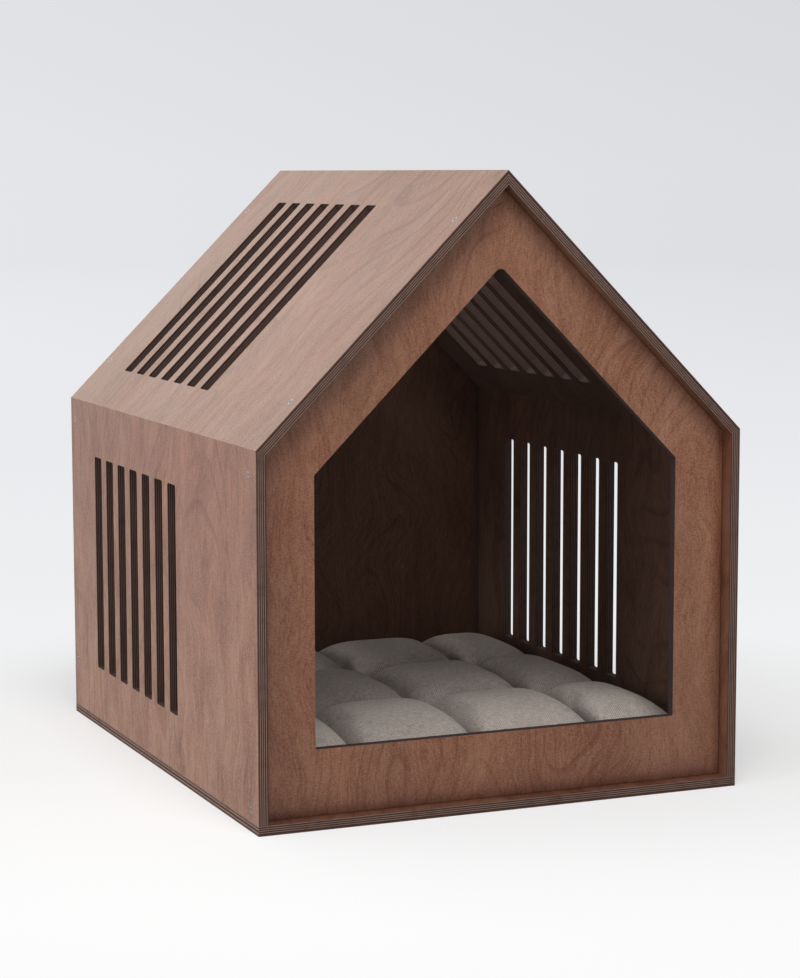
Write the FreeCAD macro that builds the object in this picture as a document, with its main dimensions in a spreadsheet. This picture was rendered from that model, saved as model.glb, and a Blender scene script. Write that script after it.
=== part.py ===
import FreeCAD, Part
import Sketcher
import os

from FreeCAD import Vector

# A gabled dog house of stained birch plywood with a loose tufted cushion.
# X runs across the house, +Y from the doorway to the back, +Z up.
# The origin is the middle of the footprint, on the floor. All lengths are in millimetres.

# Driving dimensions: alias, value, what it measures.
SIZES = (
    ("house_width", 620, "outside to outside of the side walls"),
    ("house_depth", 750, "front edge to back edge of the shell"),
    ("eave_height", 440, "floor to the outer corner of wall and roof"),
    ("roof_pitch", 45, "slope of both roof panels in degrees"),
    ("panel_thickness", 12, "plywood of every panel"),
    ("front_recess", 20, "front edge of the shell to the face of the front panel"),
    ("back_recess", 12, "back edge of the shell to the face of the back panel"),
    ("door_side_frame", 77, "outside of the shell to the side of the doorway"),
    ("door_slope_frame", 78, "outside of the roof to the slope of the doorway, square to it"),
    ("door_sill_height", 78, "top of the floor panel to the sill"),
    ("door_apex_radius", 8, "rounding at the peak of the doorway"),
    ("door_corner_radius", 2, "rounding of the four other corners of the doorway"),
    ("slot_count", 7, "slots in each wall and roof panel"),
    ("slot_width", 31, "clear width of a slot"),
    ("slot_pitch", 52.7, "middle of a slot to middle of the next"),
    ("slot_back_margin", 111.5, "back edge of the shell to the nearest slot"),
    ("slot_corner_radius", 3, "rounding of the slot corners"),
    ("wall_slot_low_margin", 70, "foot of a wall to its slots"),
    ("wall_slot_high_margin", 71, "eave to the slots of a wall"),
    ("roof_slot_low_margin", 61.5, "eave to the slots of a roof panel, along the slope"),
    ("roof_slot_high_margin", 61.5, "ridge to the slots of a roof panel, along the slope"),
    ("screw_length", 40, "countersunk wood screw, over all"),
    ("screw_shank_diameter", 4, "threaded shank"),
    ("screw_head_diameter", 7.6, "countersunk head"),
    ("screw_head_land", 0.4, "straight rim of the head"),
    ("screw_tip_length", 5, "tapered point"),
    ("screw_recess_width", 1.1, "one arm of the cross recess, across"),
    ("screw_recess_length", 4.4, "one arm of the cross recess, end to end"),
    ("screw_recess_depth", 1.8, "cross recess"),
    ("screw_hole_clearance", 0.3, "shell hole over the shank, on the radius"),
    ("drill_run_out", 2, "drills past the point of the screw and past both faces of a panel"),
    ("wall_front_screw_rise", 14, "foot of a wall to its lower front screw"),
    ("wall_back_screw_rise", 65, "foot of a wall to its lower back screw"),
    ("wall_screw_drop", 29, "eave to the upper screws of a wall"),
    ("roof_screw_rise", 72.5, "eave to the lower screws of a roof panel, along the slope"),
    ("roof_screw_drop", 79.5, "ridge to the upper screws of a roof panel, along the slope"),
    ("floor_screw_inset", 80, "side of the floor panel to its screws"),
    ("cushion_side_gap", 3, "cushion to the side walls"),
    ("cushion_front_gap", 35, "cushion to the front panel"),
    ("cushion_back_gap", 19, "cushion to the back panel"),
    ("cushion_column_pitch", 162, "between the three long seams"),
    ("cushion_row_pitch", 204, "between the two cross seams"),
    ("cushion_crest_height", 85, "floor panel to the top of a tuft"),
    ("cushion_long_seam_height", 53, "floor panel to the bottom of a seam that runs front to back"),
    ("cushion_cross_seam_height", 49, "floor panel to the bottom of a cross seam"),
    ("cushion_rim_height", 42, "floor panel to the top of the side"),
    ("cushion_rim_tuck", 4, "rim drawn in over the widest part of the side"),
    ("cushion_foot_tuck", 7, "foot drawn in under the widest part of the side"),
    ("cushion_seam_draw", 9, "side drawn in where a seam meets it"),
    ("cushion_arch_step", 3, "arches along the house over those across it, which top the tufts"),
    ("cushion_plan_margin", 3, "plan of a tuft past the widest part of its side"),
)

doc = FreeCAD.newDocument("dog_house")
sheet = doc.addObject("Spreadsheet::Sheet", "sizes")
for row, (alias, value, meaning) in enumerate(SIZES, start=1):
    sheet.set(f"A{row}", meaning)
    sheet.set(f"B{row}", str(value))
    sheet.setAlias(f"B{row}", alias)
doc.recompute()

# Expressions that several pieces share. Trigonometric functions take degrees.
HALF_WIDTH = "sizes.house_width / 2"
HALF_DEPTH = "sizes.house_depth / 2"
THICK = "sizes.panel_thickness"
PITCH = "sizes.roof_pitch"
RIDGE_HEIGHT = f"(sizes.eave_height + {HALF_WIDTH} * tan({PITCH}))"
INNER_HALF_WIDTH = f"({HALF_WIDTH} - {THICK})"
EAVE_MITRE = f"({THICK} * tan(45 - {PITCH} / 2))"
RIDGE_MITRE = f"({THICK} * tan({PITCH}))"
INNER_EAVE = f"(sizes.eave_height - {EAVE_MITRE})"
INNER_RIDGE = f"({RIDGE_HEIGHT} - {THICK} / cos({PITCH}))"
WALL_LENGTH = f"(sizes.eave_height - {THICK})"
ROOF_LENGTH = f"({HALF_WIDTH} / cos({PITCH}))"
FRONT_FACE = f"(sizes.front_recess - {HALF_DEPTH})"
BACK_FACE = f"({HALF_DEPTH} - sizes.back_recess - {THICK})"
FRONT_SCREW_LINE = f"({FRONT_FACE} + {THICK} / 2)"
BACK_SCREW_LINE = f"({BACK_FACE} + {THICK} / 2)"


def shell_frame(turn, across, height, right_side=False):
    """Placement of a shell panel: its own X runs up the panel and its own Z points out of the house."""
    flip = "rotation(vector(0; 0; 1); 180) * " if right_side else ""
    return f"placement(vector({across}; 0; {height}); {flip}rotation(vector(0; 1; 0); -({turn})))"


LEFT_EDGE = f"-{HALF_WIDTH}"
FRAMES = {
    "floor": shell_frame("180", HALF_WIDTH, "0"),
    "left_wall": shell_frame("90", LEFT_EDGE, THICK),
    "right_wall": shell_frame("90", HALF_WIDTH, THICK, right_side=True),
    "left_roof": shell_frame(PITCH, LEFT_EDGE, "sizes.eave_height"),
    "right_roof": shell_frame(PITCH, HALF_WIDTH, "sizes.eave_height", right_side=True),
}
# A panel on the right is turned half round, so its own Y runs from the back to the front.
FACING = {"floor": 1, "left_wall": 1, "right_wall": -1, "left_roof": 1, "right_roof": -1}

# Screws of each shell panel: place along the panel, line of the front or back panel that they enter.
WALL_SCREWS = (
    ("sizes.wall_front_screw_rise", FRONT_SCREW_LINE),
    (f"{WALL_LENGTH} - sizes.wall_screw_drop", FRONT_SCREW_LINE),
    ("sizes.wall_back_screw_rise", BACK_SCREW_LINE),
    (f"{WALL_LENGTH} - sizes.wall_screw_drop", BACK_SCREW_LINE),
)
ROOF_SCREWS = (
    ("sizes.roof_screw_rise", FRONT_SCREW_LINE),
    (f"{ROOF_LENGTH} - sizes.roof_screw_drop", FRONT_SCREW_LINE),
    ("sizes.roof_screw_rise", BACK_SCREW_LINE),
    (f"{ROOF_LENGTH} - sizes.roof_screw_drop", BACK_SCREW_LINE),
)
FLOOR_SCREWS = (
    ("sizes.floor_screw_inset", FRONT_SCREW_LINE),
    ("sizes.house_width - sizes.floor_screw_inset", FRONT_SCREW_LINE),
    ("sizes.floor_screw_inset", BACK_SCREW_LINE),
    ("sizes.house_width - sizes.floor_screw_inset", BACK_SCREW_LINE),
)
SCREWS = {
    "floor": FLOOR_SCREWS,
    "left_wall": WALL_SCREWS,
    "right_wall": WALL_SCREWS,
    "left_roof": ROOF_SCREWS,
    "right_roof": ROOF_SCREWS,
}


def origin_plane(body, role):
    """The plane of a body's own origin with the given role."""
    return next(item for item in body.Origin.OriginFeatures if item.Role == role)


def new_sketch(body, name, role):
    """An empty sketch on one of the body's origin planes."""
    sketch = body.newObject("Sketcher::SketchObject", name)
    sketch.AttachmentSupport = [(origin_plane(body, role), "")]
    sketch.MapMode = "FlatFace"
    return sketch


def value_of(expression):
    """The present value of an expression of sheet cells."""
    return float(sheet.evalExpression(expression))


def draw_polygon(sketch, corners):
    """Draws a closed polygon whose corners are pairs of expressions, measured from the sketch origin."""
    points = [Vector(value_of(across), value_of(up), 0) for across, up in corners]
    first = sketch.GeometryCount
    count = len(points)
    for index in range(count):
        sketch.addGeometry(Part.LineSegment(points[index], points[(index + 1) % count]), False)
    for index in range(count):
        following = first + (index + 1) % count
        sketch.addConstraint(Sketcher.Constraint("Coincident", first + index, 2, following, 1))
    for index, (across, up) in enumerate(corners):
        for kind, expression, value in (
            ("DistanceX", across, points[index].x),
            ("DistanceY", up, points[index].y),
        ):
            number = sketch.addConstraint(
                Sketcher.Constraint(kind, -1, 1, first + index, 1, value)
            )
            sketch.setExpression(f"Constraints[{number}]", expression)


def pad(body, sketch, name, length, both_ways=False, backwards=False):
    """Pads a sketch by a bound length."""
    feature = body.newObject("PartDesign::Pad", name)
    feature.Profile = sketch
    feature.Midplane = both_ways
    feature.Reversed = backwards
    feature.setExpression("Length", length)
    return feature


def edges_at(feature, wanted):
    """Names of the straight edges of a feature that pass the test."""
    names = []
    for number, edge in enumerate(feature.Shape.Edges, start=1):
        if isinstance(edge.Curve, Part.Line) and wanted(edge):
            names.append(f"Edge{number}")
    return names


def shell_panel(name, length, low_mitre="0", high_mitre="0", slot_margins=None):
    """A panel of the shell, drawn flat: X along it from 0, Y along the house, outer face at Z = 0."""
    facing = FACING[name]
    body = doc.addObject("PartDesign::Body", f"{name}_board")
    profile = new_sketch(body, f"{name}_profile", "XZ_Plane")
    draw_polygon(
        profile,
        (
            ("0", "0"),
            (low_mitre, f"-{THICK}"),
            (f"{length} - {high_mitre}", f"-{THICK}"),
            (length, "0"),
        ),
    )
    pad(body, profile, f"{name}_pad", "sizes.house_depth", both_ways=True)
    if slot_margins:
        low, high = slot_margins
        outer = f"{facing} * ({HALF_DEPTH} - sizes.slot_back_margin)"
        inner = f"{outer} - {facing} * sizes.slot_width"
        opening = new_sketch(body, f"{name}_slot_outline", "XY_Plane")
        draw_polygon(
            opening,
            (
                (low, outer),
                (f"{length} - {high}", outer),
                (f"{length} - {high}", inner),
                (low, inner),
            ),
        )
        slot = body.newObject("PartDesign::Pocket", f"{name}_slot")
        slot.Profile = opening
        slot.Type = "Length"
        slot.setExpression("Length", THICK)
        row_of_slots = body.newObject("PartDesign::LinearPattern", f"{name}_slots")
        row_of_slots.Originals = [slot]
        row_of_slots.Direction = (opening, ["V_Axis"])
        row_of_slots.Reversed = facing > 0
        row_of_slots.setExpression("Length", "sizes.slot_pitch * (sizes.slot_count - 1)")
        row_of_slots.setExpression("Occurrences", "sizes.slot_count")
        body.Tip = row_of_slots
        doc.recompute()
        rounding = body.newObject("PartDesign::Fillet", f"{name}_slot_corners")
        low_end = value_of(low)
        high_end = value_of(f"{length} - {high}")

        def slot_corner(edge):
            upright = abs(edge.tangentAt(edge.FirstParameter).z) > 0.999
            at = edge.CenterOfMass.x
            return upright and min(abs(at - low_end), abs(at - high_end)) < 0.01

        rounding.Base = (row_of_slots, edges_at(row_of_slots, slot_corner))
        rounding.setExpression("Radius", "sizes.slot_corner_radius")
        body.Tip = rounding
    return body


def master_screw():
    """One countersunk wood screw, the middle of its head at the origin, pointing down."""
    body = doc.addObject("PartDesign::Body", "screw")
    head = "sizes.screw_head_diameter / 2"
    shank = "sizes.screw_shank_diameter / 2"
    outline = new_sketch(body, "screw_outline", "XZ_Plane")
    draw_polygon(
        outline,
        (
            ("0", "0"),
            (head, "0"),
            (head, "-sizes.screw_head_land"),
            (shank, f"-sizes.screw_head_land - ({head} - {shank})"),
            (shank, "sizes.screw_tip_length - sizes.screw_length"),
            ("0", "-sizes.screw_length"),
        ),
    )
    turned = body.newObject("PartDesign::Revolution", "screw_turned")
    turned.Profile = outline
    turned.ReferenceAxis = (outline, ["V_Axis"])
    turned.Angle = 360
    arm = new_sketch(body, "screw_recess_outline", "XY_Plane")
    half_arm = "sizes.screw_recess_length / 2"
    half_across = "sizes.screw_recess_width / 2"
    draw_polygon(
        arm,
        (
            (f"-{half_arm}", f"-{half_across}"),
            (half_arm, f"-{half_across}"),
            (half_arm, half_across),
            (f"-{half_arm}", half_across),
        ),
    )
    recess = body.newObject("PartDesign::Pocket", "screw_recess_arm")
    recess.Profile = arm
    recess.Type = "Length"
    recess.setExpression("Length", "sizes.screw_recess_depth")
    cross = body.newObject("PartDesign::PolarPattern", "screw_recess")
    cross.Originals = [recess]
    cross.Axis = (arm, ["N_Axis"])
    cross.Angle = 180
    cross.Occurrences = 2
    body.Tip = cross
    return body


def master_drill(name, radius, reach, head_radius=None):
    """A round cutter from the outer face in, with the seat of the screw head if it has one."""
    shank = doc.addObject("Part::Cylinder", f"{name}_shank")
    shank.setExpression("Radius", radius)
    shank.setExpression("Height", reach)
    shank.setExpression("Placement", f"placement(vector(0; 0; -({reach})); rotation(vector(0; 0; 1); 0))")
    if head_radius is None:
        return shank
    rim = doc.addObject("Part::Cylinder", f"{name}_rim")
    rim.setExpression("Radius", head_radius)
    rim.setExpression("Height", "sizes.screw_head_land + sizes.drill_run_out")
    rim.setExpression(
        "Placement", "placement(vector(0; 0; -sizes.screw_head_land); rotation(vector(0; 0; 1); 0))"
    )
    taper = doc.addObject("Part::Cone", f"{name}_taper")
    taper.Radius1 = 0
    taper.setExpression("Radius2", head_radius)
    taper.setExpression("Height", head_radius)
    taper.setExpression(
        "Placement",
        f"placement(vector(0; 0; -sizes.screw_head_land - {head_radius}); rotation(vector(0; 0; 1); 0))",
    )
    whole = doc.addObject("Part::MultiFuse", name)
    whole.Shapes = [shank, rim, taper]
    return whole


def at_screws(panel, master, suffix):
    """The master repeated at each screw of a shell panel, in the panel's own frame."""
    copies = []
    for number, (along, line) in enumerate(SCREWS[panel], start=1):
        copy = doc.addObject("App::Link", f"{panel}_{suffix}_{number}")
        copy.LinkedObject = master
        copy.LinkTransform = True
        copy.setExpression(
            "Placement",
            f"placement(vector({along}; {FACING[panel]} * {line}; 0); rotation(vector(0; 0; 1); 0))",
        )
        copies.append(copy)
    group = doc.addObject("Part::Compound", f"{panel}_{suffix}")
    group.Links = copies
    group.setExpression("Placement", FRAMES[panel])
    return group


def drilled_panel(name, board):
    """A shell panel in its place, with its countersunk screw holes."""
    board.setExpression("Placement", FRAMES[name])
    panel = doc.addObject("Part::Cut", f"{name}_panel")
    panel.Label = f"{name}_panel"
    panel.Base = board
    panel.Tool = at_screws(name, clearance_drill, "clearance_holes")
    return panel


def end_panel(name, face):
    """The gable-shaped board that closes one end of the shell and takes the screws of all five sides."""
    body = doc.addObject("PartDesign::Body", f"{name}_board")
    outline = new_sketch(body, f"{name}_outline", "XZ_Plane")
    draw_polygon(
        outline,
        (
            (f"-{INNER_HALF_WIDTH}", THICK),
            (INNER_HALF_WIDTH, THICK),
            (INNER_HALF_WIDTH, INNER_EAVE),
            ("0", INNER_RIDGE),
            (f"-{INNER_HALF_WIDTH}", INNER_EAVE),
        ),
    )
    pad(body, outline, f"{name}_pad", THICK, backwards=True)
    body.setExpression("Placement", f"placement(vector(0; {face}; 0); rotation(vector(0; 0; 1); 0))")
    return body


def cut_doorway(body):
    """Cuts the gable-shaped doorway through the front board and rounds its corners."""
    half_door = f"({HALF_WIDTH} - sizes.door_side_frame)"
    sill = f"({THICK} + sizes.door_sill_height)"
    peak = f"({RIDGE_HEIGHT} - sizes.door_slope_frame / cos({PITCH}))"
    shoulder = f"({peak} - {half_door} * tan({PITCH}))"
    outline = new_sketch(body, "doorway_outline", "XZ_Plane")
    draw_polygon(
        outline,
        (
            (f"-{half_door}", sill),
            (half_door, sill),
            (half_door, shoulder),
            ("0", peak),
            (f"-{half_door}", shoulder),
        ),
    )
    doorway = body.newObject("PartDesign::Pocket", "doorway")
    doorway.Profile = outline
    doorway.Type = "Length"
    doorway.setExpression("Length", THICK)
    doc.recompute()
    half_value = value_of(half_door)
    heights = [value_of(item) for item in (sill, shoulder)]
    peak_value = value_of(peak)

    def at_peak(edge):
        centre = edge.CenterOfMass
        along = abs(edge.tangentAt(edge.FirstParameter).y) > 0.999
        return along and abs(centre.x) < 0.01 and abs(centre.z - peak_value) < 0.01

    def at_side(edge):
        centre = edge.CenterOfMass
        along = abs(edge.tangentAt(edge.FirstParameter).y) > 0.999
        level = min(abs(centre.z - height) for height in heights) < 0.01
        return along and level and abs(abs(centre.x) - half_value) < 0.01

    peak_rounding = body.newObject("PartDesign::Fillet", "doorway_peak_rounding")
    peak_rounding.Base = (doorway, edges_at(doorway, at_peak))
    peak_rounding.setExpression("Radius", "sizes.door_apex_radius")
    doc.recompute()
    corner_rounding = body.newObject("PartDesign::Fillet", "doorway_corner_rounding")
    corner_rounding.Base = (peak_rounding, edges_at(peak_rounding, at_side))
    corner_rounding.setExpression("Radius", "sizes.door_corner_radius")
    body.Tip = corner_rounding


def arched_outline(seams, heights, floor, tucks):
    """A closed face in the XZ plane: arches between the seams, bulging sides and a flat foot."""
    rim, seam, crest = heights
    rim_tuck, foot_tuck = tucks
    stops = [seams[0] + rim_tuck, *seams[1:-1], seams[-1] - rim_tuck]
    levels = [rim, *[seam] * (len(seams) - 2), rim]
    corners = [Vector(across, 0, level) for across, level in zip(stops, levels)]
    edges = []
    for start, end in zip(corners[:-1], corners[1:]):
        top = Vector((start.x + end.x) / 2, 0, crest)
        edges.append(Part.Arc(start, top, end).toShape())
    waist = (rim + floor) / 2
    right_foot = Vector(seams[-1] - foot_tuck, 0, floor)
    left_foot = Vector(seams[0] + foot_tuck, 0, floor)
    edges.append(Part.Arc(corners[-1], Vector(seams[-1], 0, waist), right_foot).toShape())
    edges.append(Part.LineSegment(right_foot, left_foot).toShape())
    edges.append(Part.Arc(left_foot, Vector(seams[0], 0, waist), corners[0]).toShape())
    return Part.Face(Part.Wire(edges))


def scalloped_plan(column_seams, row_seams, draw, margin, floor):
    """The plan of the cushion: each side bulges between the seams, which draw it in."""
    left, right = column_seams[0] + draw, column_seams[-1] - draw
    front, back = row_seams[0] + draw, row_seams[-1] - draw
    columns = [left, *column_seams[1:-1], right]
    rows = [front, *row_seams[1:-1], back]
    corners = [(across, front) for across in columns]
    corners += [(right, along) for along in rows[1:]]
    corners += [(across, back) for across in columns[-2::-1]]
    corners += [(left, along) for along in rows[-2:0:-1]]
    points = [Vector(across, along, floor) for across, along in corners]
    edges = []
    for start, end in zip(points, points[1:] + points[:1]):
        outward = (end - start).cross(Vector(0, 0, 1)).normalize()
        middle = (start + end) * 0.5 + outward * (draw + margin)
        edges.append(Part.Arc(start, middle, end).toShape())
    return Part.Face(Part.Wire(edges))


def make_cushion():
    """The loose cushion: a grid of crowned tufts, where arches across and along the house meet."""
    size = {alias: getattr(sheet, alias) for alias, _, _ in SIZES}
    floor = size["panel_thickness"]
    rim = floor + size["cushion_rim_height"]
    crest = floor + size["cushion_crest_height"]
    tucks = (size["cushion_rim_tuck"], size["cushion_foot_tuck"])
    half_across = value_of(INNER_HALF_WIDTH) - size["cushion_side_gap"]
    column = size["cushion_column_pitch"]
    column_seams = [-half_across, -column, 0, column, half_across]
    back = value_of(BACK_FACE) - size["cushion_back_gap"]
    front = value_of(FRONT_FACE) + floor + size["cushion_front_gap"]
    middle = (front + back) / 2
    half_row = size["cushion_row_pitch"] / 2
    row_seams = [front, middle - half_row, middle + half_row, back]

    column_heights = (rim, floor + size["cushion_long_seam_height"], crest)
    across = arched_outline(column_seams, column_heights, floor, tucks)
    across.translate(Vector(0, front, 0))
    columns = across.extrude(Vector(0, back - front, 0))
    higher_crest = crest + size["cushion_arch_step"]
    row_heights = (rim, floor + size["cushion_cross_seam_height"], higher_crest)
    along = arched_outline(row_seams, row_heights, floor, tucks)
    along.rotate(Vector(0, 0, 0), Vector(0, 0, 1), 90)
    along.translate(Vector(half_across, 0, 0))
    rows = along.extrude(Vector(-2 * half_across, 0, 0))
    draw = size["cushion_seam_draw"]
    plan = scalloped_plan(column_seams, row_seams, draw, size["cushion_plan_margin"], floor)
    block = plan.extrude(Vector(0, 0, higher_crest - floor))
    cushion = doc.addObject("Part::Feature", "cushion")
    cushion.Shape = columns.common(rows).common(block)
    return cushion


screw = master_screw()
clearance_drill = master_drill(
    "clearance_drill",
    "(sizes.screw_shank_diameter / 2 + sizes.screw_hole_clearance)",
    f"({THICK} + sizes.drill_run_out)",
    "(sizes.screw_head_diameter / 2)",
)
pilot_drill = master_drill(
    "pilot_drill",
    "(sizes.screw_shank_diameter / 2)",
    "(sizes.screw_length + sizes.drill_run_out)",
)

wall_margins = (
    "sizes.wall_slot_low_margin",
    "sizes.wall_slot_high_margin",
)
roof_margins = (
    "sizes.roof_slot_low_margin",
    "sizes.roof_slot_high_margin",
)
boards = {
    "floor": shell_panel("floor", "sizes.house_width"),
    "left_wall": shell_panel("left_wall", WALL_LENGTH, "0", EAVE_MITRE, wall_margins),
    "right_wall": shell_panel("right_wall", WALL_LENGTH, "0", EAVE_MITRE, wall_margins),
    "left_roof": shell_panel("left_roof", ROOF_LENGTH, EAVE_MITRE, RIDGE_MITRE, roof_margins),
    "right_roof": shell_panel("right_roof", ROOF_LENGTH, EAVE_MITRE, RIDGE_MITRE, roof_margins),
}
nodes = {}
for name, board in boards.items():
    nodes[f"{name}_panel"] = drilled_panel(name, board)

front_board = end_panel("front", FRONT_FACE)
cut_doorway(front_board)
back_board = end_panel("back", BACK_FACE)
pilot_holes = [at_screws(name, pilot_drill, "pilot_holes") for name in boards]
for name, board in (("front", front_board), ("back", back_board)):
    panel = doc.addObject("Part::Cut", f"{name}_panel")
    all_pilots = doc.addObject("Part::Compound", f"{name}_panel_pilot_holes")
    all_pilots.Links = pilot_holes
    panel.Base = board
    panel.Tool = all_pilots
    nodes[f"{name}_panel"] = panel

for name in boards:
    nodes[f"{name}_screws"] = at_screws(name, screw, "screws")

nodes["cushion"] = make_cushion()
for label, node in nodes.items():
    node.Label = label

doc.recompute()

for item in doc.Objects:
    if "Invalid" in item.State or "Error" in item.State:
        raise RuntimeError(f"{item.Label} could not be built: {item.State}")
for label, node in nodes.items():
    if node.Shape.isNull() or not node.Shape.isValid():
        raise RuntimeError(f"{label} has no valid shape")
    if node.TypeId == "Part::Cut" and node.Shape.Volume > node.Base.Shape.Volume - 1:
        raise RuntimeError(f"{label} has lost nothing to its screw holes")

os.makedirs("parts", exist_ok=True)
for label, node in nodes.items():
    node.Shape.exportStep(f"parts/{label}.step")
    box = node.Shape.BoundBox
    print(f"{label}: {len(node.Shape.Solids)} solids, {node.Shape.Volume / 1000:.1f} cm3, {box}")
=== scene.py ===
import math

import bpy
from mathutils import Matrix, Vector


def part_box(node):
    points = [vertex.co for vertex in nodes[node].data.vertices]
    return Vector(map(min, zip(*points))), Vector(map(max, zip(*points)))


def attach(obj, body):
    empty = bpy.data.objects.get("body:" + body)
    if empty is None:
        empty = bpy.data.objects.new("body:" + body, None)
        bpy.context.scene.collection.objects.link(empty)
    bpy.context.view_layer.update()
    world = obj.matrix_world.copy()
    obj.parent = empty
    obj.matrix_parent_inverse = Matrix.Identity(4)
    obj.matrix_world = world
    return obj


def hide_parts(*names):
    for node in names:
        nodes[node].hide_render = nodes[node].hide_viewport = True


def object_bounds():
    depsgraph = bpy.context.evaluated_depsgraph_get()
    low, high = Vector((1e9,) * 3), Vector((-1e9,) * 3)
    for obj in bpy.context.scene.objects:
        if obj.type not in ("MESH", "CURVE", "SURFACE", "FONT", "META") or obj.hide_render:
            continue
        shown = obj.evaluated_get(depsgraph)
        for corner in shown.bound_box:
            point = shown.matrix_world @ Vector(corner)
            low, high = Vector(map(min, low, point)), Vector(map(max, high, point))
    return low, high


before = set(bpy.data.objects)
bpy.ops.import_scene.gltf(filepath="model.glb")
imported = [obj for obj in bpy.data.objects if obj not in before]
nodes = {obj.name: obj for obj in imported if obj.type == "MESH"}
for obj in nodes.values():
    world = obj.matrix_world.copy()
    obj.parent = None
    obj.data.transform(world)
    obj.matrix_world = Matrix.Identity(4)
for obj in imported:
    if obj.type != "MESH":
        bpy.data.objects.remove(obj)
cad_low, cad_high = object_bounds()
scene = bpy.context.scene

# The camera, in metres and degrees. Yaw turns it from +Y towards +X.
CAMERA_AT = (-1.2687, -3.0434, 0.7477)
CAMERA_YAW = 23.017
CAMERA_DIP = 7.057
CAMERA_ROLL = 0.084
SENSOR = 36.0
FOCAL_PIXELS = 2560.5
FRAME_HEIGHT = 978

# Where the lamps point, in metres.
LAMP_AIM = (0.0, 0.0, 0.35)

MM = 0.001
X_AXIS = (1, 0, 0)
Y_AXIS = (0, 1, 0)
Z_AXIS = (0, 0, 1)
WHITE = (1.0, 1.0, 1.0, 1.0)
# A face is turned to a direction where its normal's share of that direction is over this.
FACING = 0.8


def srgb(red, green, blue):
    """A display colour, each part from 0 to 255, as the linear values that a shader takes."""

    def linear(part):
        part /= 255
        return part / 12.92 if part <= 0.04045 else ((part + 0.055) / 1.055) ** 2.4

    return (linear(red), linear(green), linear(blue), 1.0)


class Graph:
    """A node tree that is built socket by socket."""

    def __init__(self, tree, output):
        self.tree = tree
        self.tree.nodes.clear()
        self.output = self.add(output)
        self.place = self.add("TexCoord")

    def add(self, kind, **settings):
        item = self.tree.nodes.new(f"ShaderNode{kind}")
        for name, value in settings.items():
            setattr(item, name, value)
        return item

    def join(self, value, socket):
        """Links a socket to a socket, or sets the socket to a plain value."""
        if isinstance(value, bpy.types.NodeSocket):
            self.tree.links.new(value, socket)
        else:
            socket.default_value = value

    def math(self, operation, *values):
        item = self.add("Math", operation=operation)
        for socket, value in zip(item.inputs, values):
            self.join(value, socket)
        return item.outputs[0]

    def times(self, first, second):
        return self.math("MULTIPLY", first, second)

    def plus(self, first, second):
        return self.math("ADD", first, second)

    def minus(self, first, second):
        return self.math("SUBTRACT", first, second)

    def dot(self, vector, direction):
        item = self.add("VectorMath", operation="DOT_PRODUCT")
        self.join(vector, item.inputs[0])
        self.join(tuple(direction), item.inputs[1])
        return item.outputs["Value"]

    def combine(self, *parts):
        item = self.add("CombineXYZ")
        for socket, value in zip(item.inputs, parts):
            self.join(value, socket)
        return item.outputs[0]

    def noise(self, vector, scale=1.0, detail=2.0, roughness=0.5):
        """Noise from 0 to 1, with a mean of a half."""
        item = self.add("TexNoise")
        self.join(vector, item.inputs["Vector"])
        for name, value in (("Scale", scale), ("Detail", detail), ("Roughness", roughness)):
            self.join(value, item.inputs[name])
        return item.outputs["Fac"]

    def step(self, value, low, high, bottom=0.0, top=1.0):
        """A smooth step from bottom to top as the value goes from low to high."""
        item = self.add("MapRange", interpolation_type="SMOOTHSTEP")
        for socket, part in zip(item.inputs, (value, low, high, bottom, top)):
            self.join(part, socket)
        return item.outputs[0]

    def mix(self, share, first, second, how="MIX"):
        item = self.add("Mix", data_type="RGBA", blend_type=how)
        self.join(share, item.inputs[0])
        self.join(first, item.inputs[6])
        self.join(second, item.inputs[7])
        return item.outputs[2]

    def stained(self, colour, stain):
        """A colour with a stain over it, given as the colour that the stain leaves of white."""
        return self.mix(1.0, colour, stain, "MULTIPLY")

    def grey(self, value):
        """A number as a colour, to multiply another colour by."""
        return self.combine(value, value, value)

    def ramp(self, value, stops):
        item = self.add("ValToRGB")
        elements = item.color_ramp.elements
        for index, (position, colour) in enumerate(stops):
            element = elements[index] if index < 2 else elements.new(position)
            element.position = position
            element.color = colour
        self.join(value, item.inputs[0])
        return item.outputs["Color"]

    def bump(self, height, strength, distance):
        """A normal that follows a height from 0 to 1, which stands for a distance."""
        item = self.add("Bump")
        self.join(height, item.inputs["Height"])
        item.inputs["Strength"].default_value = strength
        item.inputs["Distance"].default_value = distance
        return item.outputs["Normal"]


def new_material(name):
    material = bpy.data.materials.new(name)
    material.use_nodes = True
    return material, Graph(material.node_tree, "OutputMaterial")


def surface(graph, colour, roughness, normal=None, **plain):
    """Ends a material in one physical shader. Plain values are set on its own sockets."""
    shader = graph.add("BsdfPrincipled")
    graph.join(colour, shader.inputs["Base Color"])
    graph.join(roughness, shader.inputs["Roughness"])
    if normal is not None:
        graph.join(normal, shader.inputs["Normal"])
    for name, value in plain.items():
        shader.inputs[name.replace("_", " ")].default_value = value
    graph.join(shader.outputs[0], graph.output.inputs["Surface"])


def cover(piece, material):
    """Gives a piece its one material."""
    if not piece.material_slots:
        piece.data.materials.append(material)
    for place in piece.material_slots:
        place.material = material


# Plywood: face veneer whose grain runs up each panel, and stained layers on every cut edge.
VENEER_DARK = (0.118, 0.024, 0.000, 1.0)
VENEER_LIGHT = (0.302, 0.153, 0.096, 1.0)
# The stain is a little redder or browner from patch to patch.
RED_STAIN = (1.025, 0.99, 0.98, 1.0)
BROWN_STAIN = (0.975, 1.01, 1.02, 1.0)
# What a line of late wood leaves of the colour.
LATE_WOOD = (0.68, 0.50, 0.38, 1.0)
ROOF_STAIN = (0.895, 0.940, 0.945, 1.0)
END_STAIN = (1.03, 0.97, 0.93, 1.0)
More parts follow.
